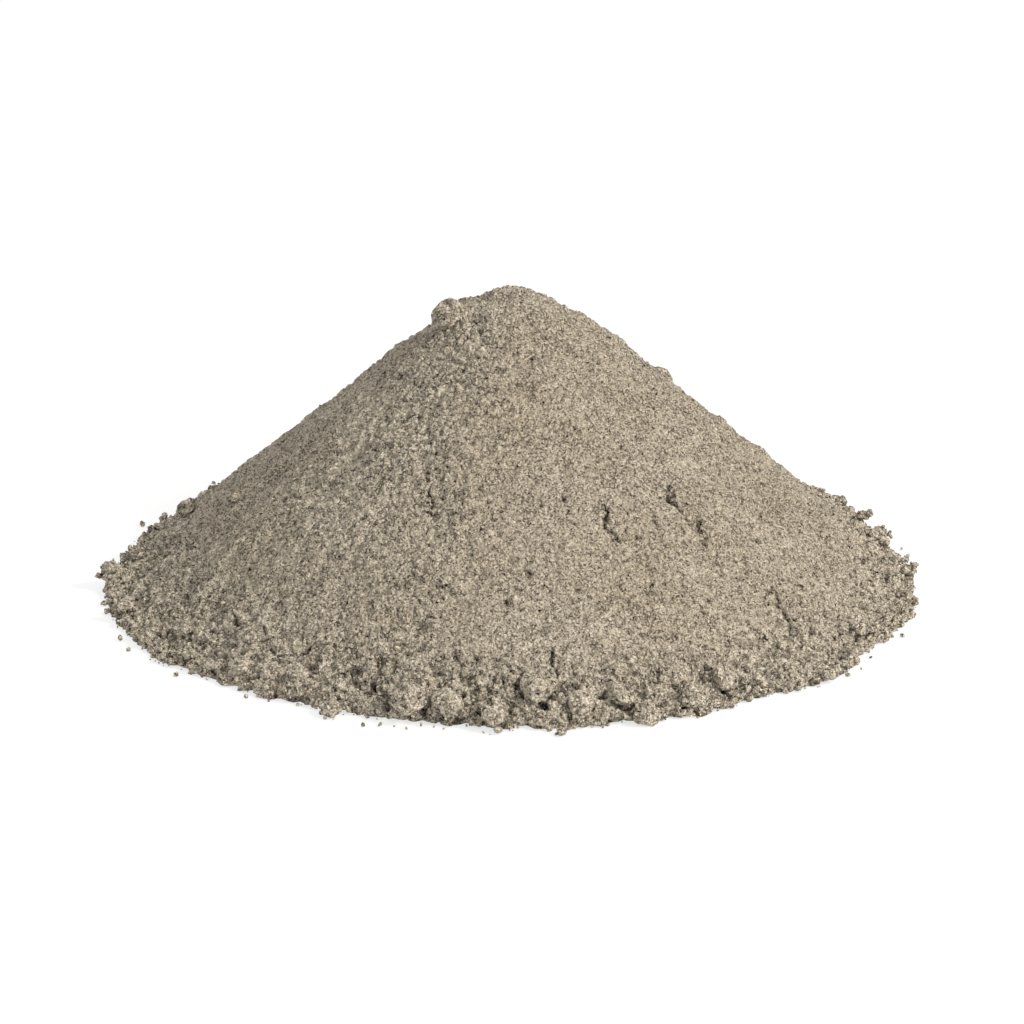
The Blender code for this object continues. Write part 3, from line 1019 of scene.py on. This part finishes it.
@dataclass
class LooseBits:
    """Many loose bits of one kind, each resting on a spot, joined into one piece."""

    name: str
    kind: Kind
    material: Material
    seed: int
    shapes: int = 8
    # how loose the bits count; loose powder gets the painted lift in its colour
    looseness: float = 0.8
    places: list[Vector] = field(default_factory=list)
    sizes: list[float] = field(default_factory=list)

    def rest(self, point: Vector, normal: Vector, size: float, sunk: float) -> None:
        """Rest one more bit on a spot.

        Args:
            point: the spot, in metres.
            normal: the surface's direction there.
            size: the bit's width in millimetres.
            sunk: how much of its half width lies below the spot.
        """
        self.places.append(point + normal * (0.5 * size * (1.0 - sunk)) * MM)
        self.sizes.append(size)

    def _shape(self, number: int) -> Object:
        """Build one of the shapes that the bits share: a knobbly ball one unit wide.

        Args:
            number: which of the shapes it is.

        Returns:
            The shape's object.
        """
        mesh = bmesh.new()
        bmesh.ops.create_icosphere(mesh, subdivisions=self.kind.value, radius=0.5)
        offset = Vector((self.seed * 3.1 + number * 7.7, number * 2.3, self.seed * 1.7))
        for vert in mesh.verts:
            knob = noise.voronoi(vert.co * 2.4 + offset)[0][0]
            dent = noise.noise(vert.co * 4.5 + offset)
            block = noise.cell(noise.voronoi(vert.co * 2.0 + offset)[1][0] * CHANCE_STEP)
            vert.co *= 1.0 + 0.6 * (0.42 - knob) + 0.3 * dent + 0.16 * block
        flatness = 0.58 + 0.09 * (number % 4)
        bmesh.ops.scale(mesh, verts=mesh.verts, vec=(1.0, 0.78 + 0.08 * (number % 3), flatness))
        data = bpy.data.meshes.new(f"{self.name}_shape_{number}")
        mesh.to_mesh(data)
        mesh.free()
        data.shade_smooth()
        return bpy.data.objects.new(data.name, data)

    def _seats(self) -> Object:
        """Make a mesh of one point for each bit, with its size, turn and shape as attributes.

        Returns:
            The points' object.
        """
        mesh = bmesh.new()
        for place in self.places:
            mesh.verts.new(place)
        data = bpy.data.meshes.new(f"{self.name}_seats")
        mesh.to_mesh(data)
        mesh.free()
        picker = np.random.default_rng(self.seed)
        count = len(self.places)
        values = (
            ("width", "FLOAT", "value", np.array(self.sizes) * MM),
            ("turn", "FLOAT_VECTOR", "vector", picker.uniform(0.0, math.tau, 3 * count)),
            ("shape", "INT", "value", picker.integers(0, self.shapes, count).astype(np.int32)),
        )
        for name, kind, key, array in values:
            data.attributes.new(name, kind, "POINT").data.foreach_set(key, array)
        seats = bpy.data.objects.new(data.name, data)
        bpy.context.scene.collection.objects.link(seats)
        return seats

    def _joining(self, shapes: Collection) -> NodeTree:
        """Make the geometry nodes that set a shape on each point and make them one mesh.

        Args:
            shapes: the shapes that the bits share.

        Returns:
            The node tree.
        """
        tree = bpy.data.node_groups.new(f"{self.name}_joining", "GeometryNodeTree")
        tree.interface.new_socket(name="Geometry", in_out="INPUT", socket_type="NodeSocketGeometry")
        tree.interface.new_socket(name="Geometry", in_out="OUTPUT", socket_type="NodeSocketGeometry")
        attributes = {
            name: add_node(tree, "GeometryNodeInputNamedAttribute", {"Name": name}, data_type=kind)
            for name, kind in (("width", "FLOAT"), ("turn", "FLOAT_VECTOR"), ("shape", "INT"))
        }
        chosen = {"Collection": shapes, "Separate Children": True, "Reset Children": True}
        placed = add_node(tree, "GeometryNodeInstanceOnPoints", {
            "Points": add_node(tree, "NodeGroupInput", {}),
            "Instance": add_node(tree, "GeometryNodeCollectionInfo", chosen),
            "Pick Instance": True,
            "Instance Index": attributes["shape"],
            "Rotation": attributes["turn"],
            "Scale": attributes["width"],
        })
        joined = add_node(tree, "GeometryNodeRealizeInstances", {"Geometry": placed})
        add_node(tree, "NodeGroupOutput", {0: joined})
        return tree

    def build(self) -> Object:
        """Join the bits into one piece.

        Returns:
            The piece's object.
        """
        shapes = bpy.data.collections.new(f"{self.name}_shapes")
        for number in range(self.shapes):
            shapes.objects.link(self._shape(number))
        seats = self._seats()
        seats.modifiers.new("joining", "NODES").node_group = self._joining(shapes)
        evaluated = seats.evaluated_get(bpy.context.evaluated_depsgraph_get())
        mesh = bmesh.new()
        mesh.from_mesh(evaluated.to_mesh())
        for vert in mesh.verts:
            vert.co.z = max(0.0, vert.co.z)
        for layers in (mesh.verts.layers.float, mesh.verts.layers.float_vector, mesh.verts.layers.int):
            for helper in [layer for layer in layers.values() if layer.name in ("width", "turn", "shape")]:
                layers.remove(helper)
        loose = mesh.verts.layers.float.new("loose")
        for vert in mesh.verts:
            vert[loose] = self.looseness
        bpy.data.objects.remove(seats)
        for shape in list(shapes.objects):
            bpy.data.objects.remove(shape)
        bpy.data.collections.remove(shapes)
        return finish_piece(mesh, self.name, self.material)


@dataclass
class LooseCover:
    """Everything loose on the heap: crumbs and lumps on the skirt, and strays on the floor."""

    material: Material
    skin: PowderSkin
    crumb_count: int = 620
    crumb_width: tuple[float, float] = (1.1, 2.8)
    lump_count: int = 70
    lump_width: tuple[float, float] = (2.6, 4.6)
    rim_crumb_count: int = 420
    rim_crumb_width: tuple[float, float] = (1.1, 2.6)
    rim_grain_count: int = 1100
    rim_grain_width: tuple[float, float] = (0.5, 1.3)
    far_stray_count: int = 26
    far_bearings: tuple[float, float] = (38.0, 142.0)
    far_reaches: tuple[float, float] = (123.5, 127.5)
    far_widths: tuple[float, float] = (0.9, 2.2)
    strays: tuple[Stray, ...] = (
        Stray(161, 124.1, 2.4), Stray(-170, 123.2, 3.0), Stray(-164, 125.3, 2.3), Stray(-154, 127.5, 2.0),
        Stray(-150, 128.5, 1.7), Stray(-139, 127.1, 2.0), Stray(-127, 124.3, 1.7), Stray(-109, 126.3, 1.5),
        Stray(-107, 124.5, 1.7), Stray(-41, 127.0, 1.7), Stray(-38, 127.1, 1.0), Stray(-34, 125.0, 1.0),
        Stray(14, 123.0, 1.5), Stray(9, 123.0, 1.3), Stray(6, 123.5, 1.5), Stray(-17, 125.0, 1.5),
        Stray(-25, 126.2, 1.7),
    )

    def build(self, ground: BVHTree) -> list[Object]:
        """Build the loose cover.

        Args:
            ground: the skin and the clods, in metres.

        Returns:
            The pieces.
        """
        picker = random.Random(11)
        crumbs = [
            LooseBits(f"crumbs_{side}", Kind.CRUMB, self.material, 31 + number)
            for number, side in enumerate(("back", "front"))
        ]
        lumps = LooseBits("skirt_lumps", Kind.LUMP, self.material, 51)
        strays = LooseBits("stray_crumbs", Kind.CRUMB, self.material, 41)
        grains = LooseBits("rim_grains", Kind.GRAIN, self.material, 61)
        self._scatter_on_skirt(ground, picker, [lumps, lumps], self.lump_count, self.lump_width)
        self._scatter_on_skirt(ground, picker, crumbs, self.crumb_count, self.crumb_width)
        self._ring_the_rim(ground, picker, crumbs, self.rim_crumb_count, self.rim_crumb_width)
        self._ring_the_rim(ground, picker, [grains, grains], self.rim_grain_count, self.rim_grain_width)
        self._set_strays(picker, strays)
        return [bits.build() for bits in (*crumbs, lumps, strays, grains)]

    @staticmethod
    def _ground_under(ground: BVHTree, x: float, y: float) -> tuple[Vector, Vector]:
        """Find the ground under a plan position.

        Args:
            ground: the skin and the clods, in metres.
            x: the position across, in millimetres.
            y: the position from front to back, in millimetres.

        Returns:
            The spot on the ground, in metres, and the ground's direction there.
        """
        point, normal, _, _ = ground.ray_cast(Vector((x, y, 200.0)) * MM, -UP)
        if point is None:
            return Vector((x, y, 0.0)) * MM, UP
        return point, normal

    def _scatter_on_skirt(
        self,
        ground: BVHTree,
        picker: random.Random,
        sides: list[LooseBits],
        count: int,
        widths: tuple[float, float],
    ) -> None:
        """Scatter bits where the powder is coarse, most of them low on the skirt.

        Args:
            ground: the skin and the clods, in metres.
            picker: the source of the random draws.
            sides: the bits of the back and the bits of the front.
            count: how many bits to scatter.
            widths: the smallest and the largest width, in millimetres.
        """
        small, large = widths
        placed = 0
        while placed < count:
            reach = 124.0 * math.sqrt(picker.random())
            bearing = picker.uniform(-math.pi, math.pi)
            x, y = reach * math.cos(bearing), reach * math.sin(bearing)
            point, normal = self._ground_under(ground, x, y)
            loose = self.skin.looseness(point / MM)
            if point.z < 0.2 * MM or picker.random() > loose ** 2.2:
                continue
            size = small + (large - small) * picker.random() ** 2.2 * (0.25 + 0.75 * loose)
            sides[0 if y >= 0.0 else 1].rest(point, normal, size, picker.uniform(0.55, 1.05))
            placed += 1

    def _ring_the_rim(
        self,
        ground: BVHTree,
        picker: random.Random,
        crumbs: list[LooseBits],
        count: int,
        widths: tuple[float, float],
    ) -> None:
        """Ring the rim with crumbs, so that its edge is ragged.

        Args:
            ground: the skin and the clods, in metres.
            picker: the source of the random draws.
            crumbs: the bits of the back and the bits of the front.
            count: how many bits to set.
            widths: the smallest and the largest width, in millimetres.
        """
        for _ in range(count):
            bearing = picker.uniform(-math.pi, math.pi)
            reach = self._rim_reach(ground, bearing) + picker.gauss(-0.5, 0.6)
            x, y = reach * math.cos(bearing), reach * math.sin(bearing)
            point, normal = self._ground_under(ground, x, y)
            size = blend(widths, picker.random() ** 1.8)
            crumbs[0 if y >= 0.0 else 1].rest(point, UP if point.z < 1.0 * MM else normal, size, 0.35)

    def _rim_reach(self, ground: BVHTree, bearing: float) -> float:
        """Find how far the rim lies from the middle.

        Args:
            ground: the skin and the clods, in metres.
            bearing: the bearing, in radians.

        Returns:
            The distance, in millimetres.
        """
        reach = 130.0
        while reach > 100.0:
            point, _ = self._ground_under(ground, reach * math.cos(bearing), reach * math.sin(bearing))
            if point.z > 0.3 * MM:
                return reach
            reach -= 0.4
        return reach

    def _set_strays(self, picker: random.Random, strays: LooseBits) -> None:
        """Leave the stray crumbs of the front on the floor, and a few like them at the back.

        Args:
            picker: the source of the random draws.
            strays: the bits that the crumbs go into.
        """
        ranges = (self.far_bearings, self.far_reaches, self.far_widths)
        behind = [Stray(*(picker.uniform(*limits) for limits in ranges)) for _ in range(self.far_stray_count)]
        for stray in (*self.strays, *behind):
            bearing = math.radians(stray.bearing)
            spot = Vector((math.cos(bearing), math.sin(bearing), 0.0)) * stray.reach * MM
            strays.rest(spot, UP, stray.width, 0.3)


@dataclass
class Studio:
    """A plain white floor, a soft light from the upper right, and the camera."""

    floor_half: float = 4.0
    floor_drop: float = 0.2
    camera_place: tuple[float, float, float] = (0.0, -1.0445, 0.3998)
    camera_target: tuple[float, float, float] = (0.0, 0.0, 0.0196)
    lens: float = 128.1
    sensor: float = 36.0
    sky: float = 0.89
    key_power: float = 17.5
    key_size: float = 0.3
    key_place: tuple[float, float, float] = (1.0, -0.63, 0.92)
    key_colour: str = "fffaf2"
    floor_lit: str = "f0f0f0"
    floor_seen: str = "949494"
    floor_glow: float = 0.70

    def build(self) -> None:
        """Set up the floor, the light and the camera."""
        self._floor()
        self._world()
        self._softbox()
        self._camera()
        bpy.context.scene.view_settings.view_transform = "Standard"

    def _floor(self) -> None:
        """Lay the white floor, which looks nearly shadowless, as on an overlit photo table."""
        mesh = bmesh.new()
        bmesh.ops.create_grid(mesh, x_segments=1, y_segments=1, size=self.floor_half)
        data = bpy.data.meshes.new("studio_floor")
        mesh.to_mesh(data)
        mesh.free()
        floor = bpy.data.objects.new("studio_floor", data)
        floor.location.z = -self.floor_drop * MM
        bpy.context.scene.collection.objects.link(floor)
        paper = bpy.data.materials.new("white_paper")
        paper.use_nodes = True
        tree = paper.node_tree
        lit = add_node(tree, "ShaderNodeBsdfDiffuse", {"Color": linear_colour(self.floor_lit)})
        seen = add_node(tree, "ShaderNodeBsdfDiffuse", {"Color": linear_colour(self.floor_seen)})
        glow = add_node(tree, "ShaderNodeEmission", {"Strength": self.floor_glow})
        seen = add_node(tree, "ShaderNodeAddShader", {0: seen, 1: glow})
        to_camera = add_node(tree, "ShaderNodeLightPath", {}, "Is Camera Ray")
        surface = add_node(tree, "ShaderNodeMixShader", {0: to_camera, 1: lit, 2: seen})
        tree.links.new(surface, tree.nodes["Material Output"].inputs["Surface"])
        data.materials.append(paper)

    def _world(self) -> None:
        """Light everything softly from all round, like a white tent."""
        world = bpy.data.worlds.new("white_tent")
        world.use_nodes = True
        background = world.node_tree.nodes["Background"]
        background.inputs["Color"].default_value = (1.0, 1.0, 1.0, 1.0)
        background.inputs["Strength"].default_value = self.sky
        bpy.context.scene.world = world

    def _softbox(self) -> None:
        """Hang the square soft light that faces the heap."""
        light = bpy.data.lights.new("key_softbox", "AREA")
        light.energy = self.key_power
        light.size = self.key_size
        light.color = linear_colour(self.key_colour)[:3]
        lamp = bpy.data.objects.new("key_softbox", light)
        lamp.location = self.key_place
        aim = Vector(self.camera_target) - lamp.location
        lamp.rotation_euler = aim.to_track_quat("-Z", "Y").to_euler()
        bpy.context.scene.collection.objects.link(lamp)

    def _camera(self) -> None:
        """Set the camera 20 degrees above the floor, in front of the heap."""
        lens = bpy.data.cameras.new("camera")
        lens.lens = self.lens
        lens.sensor_width = self.sensor
        camera = bpy.data.objects.new("camera", lens)
        camera.location = self.camera_place
        aim = Vector(self.camera_target) - camera.location
        camera.rotation_euler = aim.to_track_quat("-Z", "Y").to_euler()
        bpy.context.scene.collection.objects.link(camera)
        bpy.context.scene.camera = camera


def surface_of(pieces: list[Object]) -> BVHTree:
    """Make one search tree of several pieces' surfaces.

    Args:
        pieces: the pieces' objects.

    Returns:
        The search tree, in metres.
    """
    joined = bmesh.new()
    for piece in pieces:
        joined.from_mesh(piece.data)
    bmesh.ops.triangulate(joined, faces=[face for face in joined.faces if len(face.verts) > 4])
    tree = BVHTree.FromBMesh(joined)
    joined.free()
    return tree


def main() -> None:
    """Build the heap, what lies on it, and the studio."""
    logging.basicConfig(level=logging.INFO, format="%(message)s")
    noise.seed_set(NOISE_SEED)
    Studio().build()
    powder = DryPowder().material()
    skin_maker = PowderSkin(powder)
    skin = skin_maker.build()
    clods = CakedClods(powder, skin_maker).build()
    cover = LooseCover(powder, skin_maker).build(surface_of([*skin, *clods]))
    total = 0
    for piece in (*skin, *clods, *cover):
        piece.data.calc_loop_triangles()
        total += len(piece.data.loop_triangles)
        log.info("%s: %d triangles", piece.name, len(piece.data.loop_triangles))
    log.info("all pieces: %d triangles", total)


if __name__ == "__main__":
    main()
